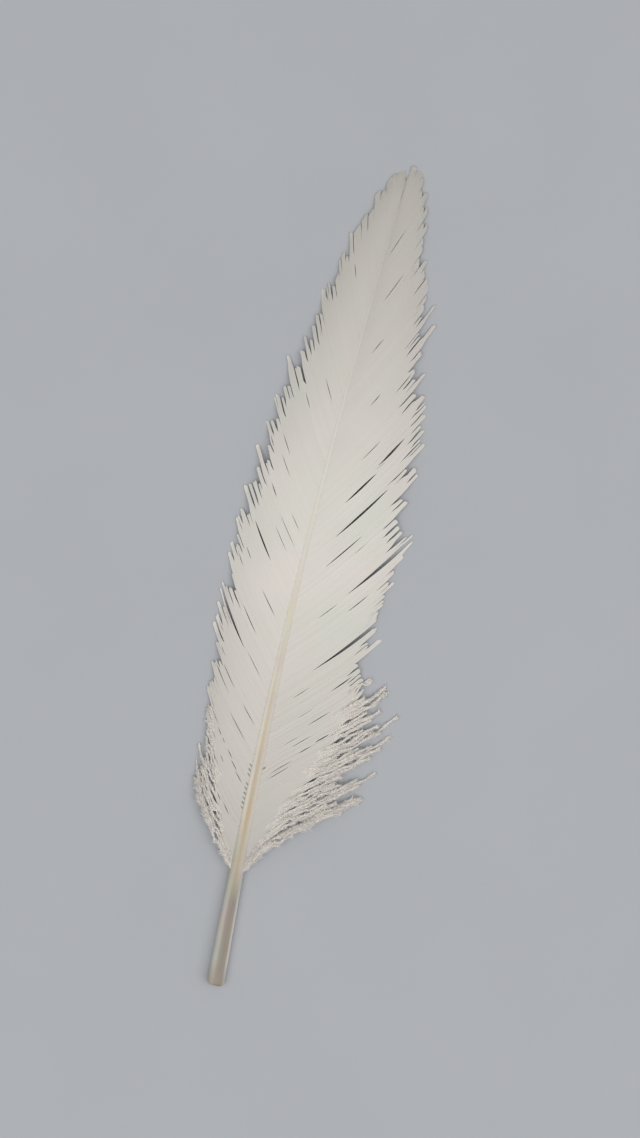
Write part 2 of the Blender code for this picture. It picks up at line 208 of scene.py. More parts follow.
def horn_material():
    """Quill horn: hard keratin grown as a tube, smooth to the touch.

    It is creamy tan, darkest down its middle, with light and shade painted across it: sides
    painted paler, most of all between the vanes, a painted highlight along the quill's right edge,
    painted shade on the cut end and a painted dimming towards the tip. Fine streaks run along its
    length, and it has a soft broad gloss.
    """
    material = bpy.data.materials.new("cream quill horn")
    material.use_nodes = True
    tree = material.node_tree
    shader = tree.nodes["Principled BSDF"]
    side = add(tree, "ShaderNodeAttribute", attribute_name="side").outputs["Fac"]
    up_feather = add(tree, "ShaderNodeAttribute", attribute_name="up_feather").outputs["Fac"]
    across = add(tree, "ShaderNodeMapRange", {"Value": side, "From Min": -1.0, "From Max": 1.0})
    # Painted light and shade across the bare quill: a paler left side, painted shade down its
    # middle and a painted highlight along its right edge.
    quill = add(tree, "ShaderNodeValToRGB", {"Fac": across.outputs["Result"]}, stops=(
        (0.0, colour("BDBAB2")), (0.22, colour("B3AEA4")), (0.42, colour("877E70")),
        (0.66, colour("7E7465")), (0.82, colour("90877A")), (0.91, colour("BDB7AC")),
        (1.0, colour("E8E4DC"))))
    # Across the shaft: a tan middle, partly the horn's own colour and partly painted shade, with
    # paler rims painted on as the lit sides of a rounded tube.
    shaded_banding = add(tree, "ShaderNodeValToRGB", {"Fac": across.outputs["Result"]}, stops=(
        (0.0, colour("BFB7AC")), (0.25, colour("B5AA96")), (0.48, colour("A8967A")),
        (0.68, colour("B1A28A")), (0.84, colour("C0B5AB")), (1.0, colour("C4BDB5"))))
    leaving = add(tree, "ShaderNodeMapRange", {
        "Value": up_feather, "From Min": QUILL_SHADES_END[0], "From Max": QUILL_SHADES_END[1]})
    body = add(tree, "ShaderNodeMixRGB", {
        "Fac": leaving.outputs["Result"], "Color1": quill.outputs["Color"],
        "Color2": shaded_banding.outputs["Color"]})
    whitening = add(tree, "ShaderNodeMapRange", {
        "Value": up_feather, "From Min": WHITENING_START, "From Max": CREAM_SHAFT_END})
    up_share = add(tree, "ShaderNodeMath", {0: up_feather, 1: 1 / FEATHER_LENGTH},
                   operation="MULTIPLY")
    # The white that the shaft turns to, greyed towards the tip as painted shade where the light is
    # dimmer, as on the vanes.
    white = add(tree, "ShaderNodeValToRGB", {"Fac": up_share.outputs["Value"]}, stops=(
        (0.45, colour("C9C2B4")), (0.65, colour("CFC9BD")), (1.0, colour("A5A199"))))
    paler = add(tree, "ShaderNodeMixRGB", {
        "Fac": whitening.outputs["Result"], "Color1": body.outputs["Color"],
        "Color2": white.outputs["Color"]})
    # Painted light: the shaft's sides are painted paler against the shade where the barbs' roots
    # meet them, more on the left, from where the vanes begin.
    at_edges = add(tree, "ShaderNodeValToRGB", {"Fac": across.outputs["Result"]}, stops=(
        (0.0, grey(0.62)), (0.20, grey(0.62)), (0.38, grey(0.1)), (0.50, grey(0)),
        (0.70, grey(0.04)), (0.90, grey(0.42)), (1.0, grey(0.5))))
    between_vanes = add(tree, "ShaderNodeMapRange", {
        "Value": up_feather, "From Min": PAINTED_LIGHT_SIDES_START[0], "From Max": PAINTED_LIGHT_SIDES_START[1]})
    sides_painted_light = add(tree, "ShaderNodeMath", {
        0: at_edges.outputs["Color"], 1: between_vanes.outputs["Result"]}, operation="MULTIPLY")
    sides_lightened = add(tree, "ShaderNodeMixRGB", {
        "Fac": sides_painted_light.outputs["Value"], "Color1": paler.outputs["Color"],
        "Color2": colour("E6E0D4")})
    # Painted shade on the rounded cut end and the mouth of its hole: darkened brown, most at the
    # end, fading out up the quill.
    near_end = add(tree, "ShaderNodeMapRange", {
        "Value": up_feather, "From Min": END_SHADE_END, "From Max": END_SHADE_START,
        "To Max": END_SHADE_STRENGTH})
    end_shaded = add(tree, "ShaderNodeMixRGB", {
        "Fac": near_end.outputs["Result"], "Color1": sides_lightened.outputs["Color"],
        "Color2": colour("8B8068")})
    place = add(tree, "ShaderNodeTexCoord").outputs["Object"]
    streak_width = 0.25 * MM
    streak_length = 14.0 * MM
    mottle_width = 9.0 * MM
    squeezed = add(tree, "ShaderNodeMapping", {
        "Vector": place, "Scale": (1 / streak_width, 1 / streak_length, 1 / streak_width)})
    streaks = add(tree, "ShaderNodeTexNoise", {
        "Vector": squeezed.outputs["Vector"], "Scale": 1.0, "Detail": 3.0})
    mottling = add(tree, "ShaderNodeTexNoise", {
        "Vector": place, "Scale": 1 / mottle_width, "Detail": 2.0})
    streaked = add(tree, "ShaderNodeMixRGB", {
        "Fac": 0.16, "Color1": end_shaded.outputs["Color"], "Color2": streaks.outputs["Color"]},
        blend_type="SOFT_LIGHT")
    mottled = add(tree, "ShaderNodeMixRGB", {
        "Fac": 0.20, "Color1": streaked.outputs["Color"], "Color2": mottling.outputs["Color"]},
        blend_type="SOFT_LIGHT")
    gloss = add(tree, "ShaderNodeMapRange", {
        "Value": streaks.outputs["Fac"], "To Min": 0.34, "To Max": 0.52})
    grain = add(tree, "ShaderNodeBump", {
        "Height": streaks.outputs["Fac"], "Strength": 0.25, "Distance": 0.04 * MM})
    tree.links.new(mottled.outputs["Color"], shader.inputs["Base Color"])
    tree.links.new(gloss.outputs["Result"], shader.inputs["Roughness"])
    tree.links.new(grain.outputs["Normal"], shader.inputs["Normal"])
    shader.inputs["IOR"].default_value = 1.55
    shader.inputs["Subsurface Weight"].default_value = 0.12
    shader.inputs["Subsurface Radius"].default_value = (1.0, 0.7, 0.45)
    shader.inputs["Subsurface Scale"].default_value = 1.2 * MM
    return material


shaft_points, shaft_faces, shaft_readings = shaft_mesh()
shaft = make_piece("shaft", shaft_points, shaft_faces, horn_material(), shaft_readings)
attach(shaft, "root")
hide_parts("feather")

# The two vanes. Each is some three hundred barbs, thin blades of white keratin that grow from the
# shaft's side and lean towards the tip. Hooked barbules hold them in a sheet, which has parted
# into locks, with slits between them, and the barbs' free ends cling together in blunt fingers.
SIDES = {"right": 1, "left": -1}
FIRST_BARB = 41.0
LAST_BARB = 292.0
BARB_SPACING = 0.85            # as on a large wing feather
ROOT_JITTER = 0.05             # how far a barb's root lies from its even place
# Root along the shaft, angle from the shaft at root, middle and tip, length
BARBS = {
    "right": np.array((
        (41, 28, 52, 46, 51), (50, 32, 53, 46, 54), (60, 38, 52, 45, 55.5), (70, 44, 51, 44, 57),
        (80, 47, 49, 42, 52), (88, 48, 47, 39, 43), (100, 47, 45, 35, 44), (115, 45, 42, 33, 49),
        (130, 43, 39, 32, 55), (145, 40, 36, 30, 56), (160, 38, 34, 28, 57), (180, 35, 31, 26, 54),
        (200, 32, 28, 23, 51), (220, 29, 26, 20, 45), (240, 26, 23, 17, 39), (260, 23, 20, 14, 32),
        (275, 19, 16, 10, 24), (288, 9, 8, 6, 10.8), (292, 2, 8, 11, 6.4))),
    "left": np.array((
        (41, 42, 41, 14, 37), (50, 47, 39, 22, 37.5), (60, 48, 38, 28, 37), (80, 47, 42, 31, 36.5),
        (90, 47, 42, 33, 37), (108, 46, 39, 31, 41.5), (125, 45, 38, 31, 42.5),
        (155, 43, 35, 30, 43), (170, 40, 33, 28, 42.5), (188, 36, 30, 25, 42.5),
        (204, 32, 27, 22, 38.5), (220, 29, 25, 18, 37), (238, 25, 20, 14, 35),
        (256, 19, 14, 10, 30.5), (275, 13, 10, 7, 21.5), (288, 6, 5, 3, 9.6), (292, 0, 6, 9, 4.0))),
}
# Plumes of the loose barbs at the foot, two or three barbs in each: root, and how far the plume
# reaches past (+) or short of (-) the barb length. The short ones leave dark gaps between strands.
PLUMES = {
    "right": (
        (42.2, -0.5), (43.8, -4.7), (46.2, -13.0), (47.7, -18.0), (49.0, -5.4), (50.4, 0.3),
        (51.9, -8.0), (53.5, -15.0), (55.1, -18.0), (56.8, -16.0), (58.7, -5.0), (60.0, -1.7),
        (61.8, 1.7), (63.2, -7.0), (65.0, -12.0), (67.0, -5.0), (68.4, 2.8), (69.9, -6.0),
        (71.7, -13.0), (73.6, -8.0), (75.3, -4.1), (77.0, -9.0), (79.3, 0.5), (81.3, 1.8),
        (83.0, -6.0), (84.8, -5.0), (86.5, 0.7),
    ),
    "left": (
        (42.2, -1.7), (43.8, -2.8), (45.3, -3.4), (46.8, 3.0), (48.6, -4.5), (50.4, -5.5),
        (52.2, 1.8), (54.2, -6.8), (56.0, -6.8), (57.8, -6.0), (59.6, -4.5), (61.6, -3.0),
        (63.2, -2.0),
    ),
}
# Plumes whose ends lean out of line: root, and how far down the shaft they lean
LEANING = {"right": {}, "left": {46.8: 3.4, 52.2: 1.0}}
LEANING_FROM = 0.72            # share of their length
# Locks of the firm vane: root of the lowest barb, and how far its lowest and its highest finger
# reach past (+) or short of (-) the barb length
LOCKS = {
    "right": (
        (88.4, -1.5, -5.5), (97.2, 4.4, -3.0), (102.6, -0.3, -3.0), (110.4, -1.3, -1.8),
        (114.6, 1.6, -2.5), (118.6, -1.0, -2.5), (121.6, 1.8, 1.0), (124.2, 4.8, -0.5),
        (130.2, -4.0, -8.0), (139.8, -3.6, -6.5), (145.6, 0.5, -1.0), (148.8, -1.4, -7.0),
        (155.6, 1.4, -1.5), (160.6, 0.0, -2.0), (166.5, 0.2, -1.0), (169.8, 0.6, -1.5),
        (173.4, -0.8, -1.6), (178.0, -6.0, -6.8), (182.6, -0.8, -2.0), (184.8, -6.9, -8.0),
        (192.8, -3.9, -5.2), (196.2, 3.8, 1.0), (200.6, -5.5, -9.0), (204.6, 4.0, 1.8),
        (208.0, -4.4, -6.0), (210.8, -2.6, -1.0), (216.6, 0.2, 0.2), (224.6, -2.2, -1.4),
        (229.6, -1.2, -6.2), (238.6, -3.8, -3.5), (245.6, -0.2, -3.1), (252.8, 0.0, -2.9),
        (260.8, 0.2, -2.6), (270.8, -0.4, 0.0), (275.0, 0.8, 1.4), (282.0, 1.8, 1.8),
        (291.4, -2.9, -2.9),
    ),
    "left": (
        (64.4, -0.2, -2.9), (72.4, 1.4, -3.2), (82.6, 0.4, -4.2), (89.8, -0.6, -1.2),
        (92.6, 4.0, 2.6), (98.6, 2.9, -2.4), (104.6, 2.3, -4.6), (111.6, -8.4, -8.6),
        (113.8, -4.2, -3.6), (115.8, 1.5, -0.3), (118.6, 1.3, 0.0), (122.6, -3.2, -1.8),
        (127.6, 1.4, -2.2), (131.6, 0.3, -3.0), (134.6, -5.1, -5.8), (137.6, 1.9, -0.5),
        (141.6, -1.0, -3.0), (147.8, -7.0, -7.4), (149.8, -3.0, -2.4), (152.6, 1.6, -1.0),
        (156.4, -8.0, -5.5), (162.6, 0.5, -2.0), (168.8, -5.0, -1.0), (171.6, 0.6, -0.5),
        (175.6, -3.8, -4.5), (177.8, -2.5, -4.5), (183.6, 2.2, -0.8), (187.6, -5.8, -6.6),
        (192.8, -3.5, -0.8), (197.0, -0.8, -1.6), (199.8, -4.9, -5.1), (202.2, -2.0, -1.2),
        (206.0, -1.1, -3.4), (212.6, 1.8, 0.7), (217.6, 0.0, -1.6), (220.6, -4.4, -3.0),
        (224.6, -3.4, -4.2), (227.6, 0.2, 1.0), (232.6, -3.7, -2.0), (235.6, 1.6, -1.0),
        (239.6, 0.0, -1.0), (245.6, 0.0, -1.7), (255.6, 1.6, -1.0), (266.6, 0.6, 0.6),
        (274.0, 0.2, 0.2), (277.4, 0.2, 0.2), (280.5, 0.7, 0.7), (290.6, -1.0, -1.0),
    ),
}
# Slits: root, where along the barbs they open and close (past 1 is open at the rim), width
SLITS = {
    "right": (
        (45.2, 0.32, 0.54, 0.55), (48.4, 0.44, 0.62, 0.53), (55.3, 0.55, 0.70, 0.48),
        (61.0, 0.42, 0.60, 0.38), (72.6, 0.55, 0.72, 0.60), (72.8, 0.06, 0.26, 0.38),
        (74.2, 0.05, 0.28, 0.42), (76.4, 0.29, 0.41, 0.53), (76.9, 0.42, 0.56, 0.55),
        (80.5, 0.22, 0.42, 0.36), (83.1, 0.15, 0.34, 0.36), (85.8, 0.38, 0.62, 0.38),
        (90.8, 0.25, 0.49, 0.30), (92.9, 0.60, 0.92, 0.60), (99.9, 0.18, 0.37, 0.30),
        (101.0, 0.75, 1.2, 0.80), (106.2, 0.30, 1.2, 1.60), (111.4, 0.78, 1.2, 0.60),
        (119.4, 0.54, 0.76, 0.43), (125.2, 0.26, 0.42, 0.30), (126.4, 0.46, 1.2, 1.60),
        (130.2, 0.76, 1.2, 1.10), (139.9, 0.46, 0.60, 0.30), (139.8, 0.80, 1.2, 0.50),
        (144.6, 0.21, 0.54, 0.48), (145.6, 0.72, 1.2, 0.60), (152.5, 0.82, 0.95, 0.48),
        (153.6, 0.25, 0.72, 0.90), (159.4, 0.76, 1.2, 0.80), (164.8, 0.28, 0.57, 0.85),
        (167.0, 0.58, 0.80, 0.90), (172.4, 0.84, 1.2, 0.60), (176.6, 0.36, 0.58, 0.30),
        (182.6, 0.82, 1.2, 0.60), (190.4, 0.65, 0.90, 0.38), (194.6, 0.85, 1.2, 0.50),
        (196.6, 0.38, 0.49, 0.36), (202.5, 0.70, 1.2, 0.90), (208.2, 0.84, 1.2, 0.48),
        (222.0, 0.26, 0.40, 0.32), (225.2, 0.88, 1.2, 0.36), (241.0, 0.26, 0.60, 0.28),
        (263.2, 0.10, 0.54, 0.27),
    ),
    "left": (
        (45.9, 0.26, 0.35, 0.90), (45.3, 0.38, 0.46, 1.00), (44.8, 0.49, 0.57, 1.10),
        (45.4, 0.59, 0.67, 1.20), (46.0, 0.69, 0.76, 1.30), (46.6, 0.77, 0.84, 1.20),
        (47.4, 0.86, 0.92, 0.90), (50.2, 0.66, 0.74, 0.70), (54.6, 0.20, 0.36, 0.42),
        (54.0, 0.38, 0.50, 0.53), (53.7, 0.51, 0.60, 0.75), (56.2, 0.74, 0.82, 0.60),
        (58.8, 0.66, 0.73, 0.50), (60.6, 0.80, 0.88, 0.70), (63.1, 0.78, 0.87, 0.60),
        (65.5, 0.46, 0.56, 0.48), (66.2, 0.70, 0.77, 0.53), (69.4, 0.10, 0.25, 0.42),
        (70.3, 0.22, 0.36, 0.44), (71.3, 0.33, 0.46, 0.50), (71.4, 0.50, 0.57, 0.55),
        (71.0, 0.60, 0.68, 0.65), (73.6, 0.80, 0.95, 0.43), (82.6, 0.16, 0.55, 0.38),
        (86.8, 0.55, 1.2, 0.55), (90.5, 0.48, 0.87, 0.43), (90.8, 0.07, 0.38, 0.41),
        (93.1, 0.78, 0.92, 0.38), (97.6, 0.82, 1.2, 0.48), (105.2, 0.42, 1.2, 1.35),
        (106.1, 0.11, 0.45, 0.32), (114.4, 0.32, 0.65, 0.42), (123.0, 0.74, 0.97, 0.50),
        (127.8, 0.13, 0.42, 0.36), (129.0, 0.65, 0.78, 0.43), (130.0, 0.88, 1.2, 0.50),
        (137.0, 0.80, 1.2, 0.70), (139.2, 0.38, 0.76, 0.75), (147.2, 0.84, 1.2, 0.60),
        (149.4, 0.17, 0.48, 0.30), (154.6, 0.08, 0.46, 0.31), (156.0, 0.53, 0.66, 0.43),
        (157.2, 0.70, 0.94, 0.53), (160.1, 0.10, 0.30, 0.28), (164.2, 0.78, 0.90, 0.50),
        (167.4, 0.41, 0.68, 0.32), (168.9, 0.82, 1.2, 0.53), (171.4, 0.51, 0.74, 0.32),
        (172.5, 0.80, 1.2, 0.50), (183.6, 0.86, 1.2, 0.50), (188.6, 0.68, 1.2, 0.53),
        (191.1, 0.44, 0.63, 0.32), (199.6, 0.82, 1.2, 0.53), (205.4, 0.15, 0.44, 0.32),
        (208.5, 0.73, 0.89, 0.30), (218.6, 0.80, 1.2, 0.53), (229.4, 0.80, 1.2, 0.32),
        (234.2, 0.82, 1.2, 0.30), (239.8, 0.51, 0.69, 0.22),
    ),
}
SLIT_EASE = 2.4                # barbs this far from a slit still make some room for it
SLIT_FULLNESS = 0.7            # a power: below 1, a slit is wide for most of its length
FINGER_WIDTH = 1.75            # width of vane whose barbs end in one finger
FINGER_UNEVEN = 0.45           # how far the first root of a finger lies from its even place
REACH_UNEVEN = 0.5             # how far a finger ends from its lock's line
FULL_BARB = 40.0               # on barbs shorter than this, fingers differ less
FINGER_FREE = (4.0, 10.0)      # length of a finger's free end
FINGER_CLOSING = 3.5           # its barbs come together over this length, then run side by side
FINGER_SPREAD = (0.42, 0.60)   # share of its barbs' spacing left at the finger's end
FINGER_SWAY = 0.30             # how far a finger leans out of line
FINGER_LIFT = 0.35             # and how much higher than its neighbours it may lie
FINGER_ROUNDING = 0.35         # how much shorter its outer barbs are than its middle one
BARB_UNEVEN = 0.12             # how far its barbs end from its blunt end's line
TIGHT_SPREAD = 0.60            # at this share of the spacing or less its end is cut off square,
LOOSE_SPREAD = 0.90            # and at this share or more it follows the rim
GATHERING_POWER = 1.3          # above 1, the barbs come together slowly at first
BLUNT_TIP_FROM = 256.0         # towards the feather's tip the fingers stay together, up from here
BLUNT_TIP_FULL = 271.0         # as they all do by here
BLUNT_TIP_SPREAD = 0.95
EVEN_SPREAD = 0.88
# Stretches of the rim, by root, where they stay together too
EVEN_RIM = {"right": ((103.0, 110.0), (211.0, 228.0), (232.0, 262.0)),
            "left": ((64.0, 82.0), (224.5, 232.0), (239.0, 276.0))}
PLUME_SPREAD = 0.52            # share of the barbs' spacing left where a plume has gathered
PLUME_GATHERING = 0.30         # share of the barbs' length over which it gathers
PLUME_START = (-0.05, 0.15)    # where that begins, past where the barbules come loose
PLUME_LIFT = (-0.1, 0.5)
PLUME_FRAY = (-0.7, 0.8)       # how far the barbs of a plume end from its reach
LOOSE_BARBS = 0.9              # barbs whose barbules come loose before this share are in plumes
PLUME_SWAY = 0.25              # how far a plume wavers to either side, and the length of a wave
PLUME_WAVE = 11.0
PLUME_PHASE = 50.0             # turns a plume's lift into the start of its wave
FLECKS = 3                     # short gaps where each plume meets the next
FLECK_START = (0.02, 0.45)     # past where the barbules come loose, as a share of the barb
FLECK_LENGTH = (0.05, 0.12)
FLECK_WIDTH = (0.5, 1.1)
FLECK_FIRST = 0.30             # the nearest and farthest along a barb that one begins
FLECK_LAST = 0.86
# Tiny holes close to the shaft: the lowest and highest root of the barbs that have them, and the
# share of every second barb there that does
ROOT_HOLES = {"left": (61.5, 78.5), "right": (76.5, 78.5)}
HOLED_SHARE = 0.8
ROOT_STATIONS = (0.0, 0.9, 1.6, 2.2)          # distances along a barb. The holes end at the third.
BARB_STEPS = 24                # steps in which a barb's curve is followed
STATIONS = 21
STATIONS_POWER = 0.92          # below 1, they lie closer together towards the barb's end
STATIONS_GAP = 1.0             # how far they keep from the root stations and from the barb's end
END_STATIONS = (0.75, 0.42, 0.18, 0.05)   # distances from the barb's end, which they round off
END_LEAST = 0.02               # share of a rounded-off blade's width that is always left
BARB_POINT = 0.04              # how far its last point lies past them
BLADE_OVERLAP = 1.30           # a blade's width as a share of the barbs' spacing
BLADE_ROOM = 0.88              # share of the even spacing past which a blade doesn't widen
BLADE_LEAST = 0.34
BLADE_TILT = 0.014             # each blade's upper edge lies this much over the next one's
BESIDE = 0.5                   # distance along the shaft over which the vane's lie is measured
STEEPEST = 0.45                # slope
RIDGE_SHARE = 0.6              # the rib is at most this share of the blade's width
RIDGE_HALF = 0.12              # half width of the rib along a blade
RIDGE_UP = 0.024               # and how far it stands out above and below
RIDGE_DOWN = 0.10
FLANGE = 0.014                 # half thickness of a blade's thin sides
RIM_REST = 0.30                # height of the barbs' middle where they rest on the ground
BARB_FALL = 1.6                # a power: the barbs fall slowly near the shaft
BARB_ARCH = 1.3                # height of the arch that a long barb makes on its way down
ARCHED_BARB = 45.0             # length of a barb that has the whole arch
VANE_WAVE = 0.22               # height of the vane's slow waves
VANE_WAVE_ROOTS = 9.0          # how slowly they follow each other along the shaft
VANE_WAVE_TURN = 5.0           # and how much they turn from a barb's root to its tip
BARB_HEIGHTS = 0.03            # how unevenly high neighbouring barbs lie
LOWEST = 0.02                  # no blade's edge lies lower than this over the ground
# Where the barbs grow from the shaft: distance up the feather, share of the shaft's height and of
# its half width. They leave only its crown bare towards the tip.
BARB_SEAT = np.array(((41, 0.74, 0.80), (90, 0.80, 0.76), (130, 0.86, 0.64), (170, 0.90, 0.48),
                      (220, 0.92, 0.30), (292, 0.92, 0.20)))
LOOSE_CORE = 0.34              # width of a barb where its barbules are loose
LOOSENING = 0.35               # share of the barb over which they come loose
LOOSE_UNEVEN = (-0.03, 0.05)   # how unevenly that begins from finger to finger
# Where along a barb its barbules come loose: root, share of its length
LOOSE_FROM = {
    "right": np.array(((41, -0.15), (44, -0.05), (50, 0.24), (58, 0.36), (66, 0.44), (74, 0.54),
                       (80, 0.64), (86, 0.84), (90, 1.25))),
    "left": np.array(((41, -0.15), (44, -0.05), (49, 0.30), (56, 0.52), (62, 0.68), (67, 0.84),
                      (71, 0.95), (74, 1.25))),
}
chance = np.random.default_rng(7)


def barb_course(side, root, out):
    """x, y and angle of barbs at distances out along them.

    The angle from the shaft follows a parabola through its root, middle and tip values.
    """
    at_root, middle, at_tip, length = [column(BARBS[side], k, root) for k in (1, 2, 3, 4)]
    sign = SIDES[side]
    to_side = np.maximum(0.0, 1 - out / length)
    seat = column(BARB_SEAT, 2, root) * column(SHAFT_SIZES, 1, root) / 2
    x = shaft_centre(root) + sign * seat * to_side ** 2
    y = root.copy()
    step = out / BARB_STEPS
    angle = np.radians(at_root)
    for k in range(BARB_STEPS):
        q = np.minimum(1.0, step * (k + 0.5) / length)
        angle = np.radians(at_root * 2 * (q - 0.5) * (q - 1) - middle * 4 * q * (q - 1)
                           + at_tip * 2 * q * (q - 0.5))
        x = x + sign * np.sin(angle) * step
        y = y + np.cos(angle) * step
    return x, y, angle


def vane_height(root, share, length):
    """Height of the vane: from the shaft's side down to the ground at the barb's tip."""
    at_shaft = shaft_base(root) + column(BARB_SEAT, 1, root) * column(SHAFT_SIZES, 2, root)
    fall = np.clip(share, 0, 1) ** BARB_FALL
    arch = BARB_ARCH * np.minimum(1.0, length / ARCHED_BARB)
    arch = arch * 4 * share * np.clip(1 - share, 0, 1)
    return at_shaft * (1 - fall) + RIM_REST * fall + arch


def lie_of_vane(side, root, out, x, y, angle):
    """How the vane lies beside its barbs.

    It gives how far apart barbs are whose roots are 1 mm apart, and how steeply the vane rises to
    a barb's left, so that each blade can lie in it.
    """
    def height(at):
        length = column(BARBS[side], 4, at)
        return vane_height(at, out / length, length)

    beside = root + BESIDE
    beside_x, beside_y, _ = barb_course(side, beside, out)
    along = np.gradient(height(root), axis=1) / np.gradient(out, axis=1)
    ahead_x = SIDES[side] * np.sin(angle)
    ahead_y = np.cos(angle)
    forward = (beside_x - x) * ahead_x + (beside_y - y) * ahead_y
    leftward = (beside_y - y) * ahead_x - (beside_x - x) * ahead_y
    rise = (height(beside) - height(root) - along * forward) / leftward
    return np.abs(leftward) / BESIDE, np.clip(rise, -STEEPEST, STEEPEST)


def fingers(side):
    """Each group of barbs whose ends cling together.

    A row holds first and last root, the root whose course the tip follows, reach, where the
    gathering begins and ends, the share of spacing left, how high it lies, where its barbules
    come loose, and how far it leans.
    """
    rows = []
    roots = np.array([root for root, _ in PLUMES[side]])
    cuts = np.concatenate(([FIRST_BARB], (roots[:-1] + roots[1:]) / 2, [LOCKS[side][0][0]]))
    for (root, reach), first, last in zip(PLUMES[side], cuts, cuts[1:]):
        begins = column(LOOSE_FROM[side], 1, root) + chance.uniform(*PLUME_START)
        rows.append((first, last, root, reach, begins, begins + PLUME_GATHERING, PLUME_SPREAD,
                     chance.uniform(*PLUME_LIFT), begins, LEANING[side].get(root, 0.0)))
    starts = [row[0] for row in LOCKS[side]] + [LAST_BARB + 1]
    for (first, low_reach, high_reach), end in zip(LOCKS[side], starts[1:]):
        across = (end - first) * math.sin(math.radians(column(BARBS[side], 2, first)))
        count = max(1, round(across / FINGER_WIDTH))
        cuts = first + (end - first) * np.linspace(0, 1, count + 1)
        cuts[1:-1] += chance.uniform(-FINGER_UNEVEN, FINGER_UNEVEN, count - 1)
        for k in range(count):
            share = k / max(1, count - 1)
            middle = (cuts[k] + cuts[k + 1]) / 2
            length = column(BARBS[side], 4, middle)
            slight = min(1.0, length / FULL_BARB)
            reach = low_reach + (high_reach - low_reach) * share
            reach += chance.uniform(-REACH_UNEVEN, REACH_UNEVEN) * slight if 0 < k else 0.0
            free = chance.uniform(*FINGER_FREE) * slight
            sway = chance.uniform(-FINGER_SWAY, FINGER_SWAY) * slight
            spread = chance.uniform(*FINGER_SPREAD)
            blunt = smooth_step(middle, BLUNT_TIP_FROM, BLUNT_TIP_FULL)
            spread += (BLUNT_TIP_SPREAD - spread) * blunt
            if any(low < middle < high for low, high in EVEN_RIM[side]):
                spread = EVEN_SPREAD
            rows.append((cuts[k], cuts[k + 1], middle + sway, reach, 1 - free / length,
                         1 - (free - FINGER_CLOSING * slight) / length, spread,
                         chance.uniform(0, FINGER_LIFT),
                         column(LOOSE_FROM[side], 1, middle) + chance.uniform(*LOOSE_UNEVEN), 0.0))
    return np.array(rows)


def flecks(side):
    """Short gaps between the plumes, as slits."""
    rows = []
    roots = [root for root, _ in PLUMES[side]]
    for lower, upper in zip(roots, roots[1:]):
        loose_from = column(LOOSE_FROM[side], 1, lower)
        for _ in range(FLECKS):
            opens = np.clip(loose_from + chance.uniform(*FLECK_START), FLECK_FIRST, FLECK_LAST)
            rows.append(((lower + upper) / 2, opens, opens + chance.uniform(*FLECK_LENGTH),
                         chance.uniform(*FLECK_WIDTH)))
    return rows


def slit_shift(side, root, share):
    """How far along the shaft the slits push barbs from their natural course."""
    shift = np.zeros(share.shape)
    for at, opens, closes, width in (*SLITS[side], *flecks(side)):
        along = np.clip((share - opens) / (min(closes, 1.0) - opens), 0, 1)
        if closes > 1:
            gape = np.sin(math.pi / 2 * along)
        else:
            gape = np.sin(math.pi * along) ** SLIT_FULLNESS
        slant = math.sin(math.radians(column(BARBS[side], 2, at)))
        near = np.exp(-np.abs(root - at) / SLIT_EASE)
        shift += np.sign(root - at) * near * gape * width / 2 / slant
    return shift


def lay_barbs(side):
    """The courses of one vane's barbs, each an array of (barbs, stations)."""
    roots = np.arange(FIRST_BARB, LAST_BARB, BARB_SPACING)
    roots = roots + chance.uniform(-ROOT_JITTER, ROOT_JITTER, len(roots))
    groups = fingers(side)
    number = np.clip(np.searchsorted(groups[:, 0], roots, "right") - 1, 0, None)
    (first, last, tip_root, reach, gather, gather_end, spread, lift, loose_from,
     lean) = groups[number].T
    from_middle = roots - (first + last) / 2
    tip_roots = tip_root + from_middle * spread
    slope = np.cos(np.radians(column(BARBS[side], 3, roots)))
    tight = np.clip((LOOSE_SPREAD - spread) / (LOOSE_SPREAD - TIGHT_SPREAD), 0, 1)
    outer = from_middle / (last - first) * 2
    blunt = -from_middle * spread * slope * tight - FINGER_ROUNDING * outer ** 2
    loose = loose_from < LOOSE_BARBS
    uneven = np.where(loose, chance.uniform(*PLUME_FRAY, len(roots)),
                      chance.uniform(-BARB_UNEVEN, BARB_UNEVEN, len(roots)))
    length = column(BARBS[side], 4, tip_roots) + reach + blunt + uneven
    shares = np.linspace(0, 1, STATIONS) ** STATIONS_POWER
    ends = np.array(END_STATIONS)
    foot = np.array(ROOT_STATIONS)
    start = foot[-1] + STATIONS_GAP
    out = np.concatenate((np.repeat(foot[None, :], len(roots), axis=0),
                          start + shares[None, :] * (length[:, None] - STATIONS_GAP - start),
                          length[:, None] - ends[None, :]), axis=1)
    natural = column(BARBS[side], 4, roots)[:, None]
    share = out / natural
    gathering = (gather_end - gather)[:, None]
    gathered = np.clip((out / length[:, None] - gather[:, None]) / gathering, 0, 1)
    gathered = np.sin(math.pi / 2 * gathered) ** GATHERING_POWER
    course_root = roots[:, None] + gathered * (tip_roots - roots)[:, None]
    course_root = course_root + slit_shift(side, roots[:, None], share)
    free = smooth_step(share, gather[:, None], gather_end[:, None]) * loose[:, None]
    wave = 2 * math.pi * out / PLUME_WAVE + PLUME_PHASE * lift[:, None]
    course_root = course_root + PLUME_SWAY * free * np.sin(wave)
    leaning = smooth_step(out / length[:, None], LEANING_FROM, 1.0)
    course_root = course_root - lean[:, None] * leaning
    x, y, angle = barb_course(side, course_root, out)
    turn = roots[:, None] / VANE_WAVE_ROOTS + VANE_WAVE_TURN * share
    waves = VANE_WAVE * np.sin(turn) * np.clip(share, 0, 1)
    unevenness = chance.normal(0, BARB_HEIGHTS, (len(roots), 1)) * np.sin(angle)
    z = vane_height(course_root, share, natural) + waves + unevenness + lift[:, None] * gathered
    apart, slope = lie_of_vane(side, course_root, out, x, y, angle)
    return {"roots": roots, "course_root": course_root, "x": x, "y": y, "z": z, "angle": angle,
            "out": out, "length": length, "share": share, "group": number,
            "loose_from": loose_from, "apart": apart, "slope": slope}


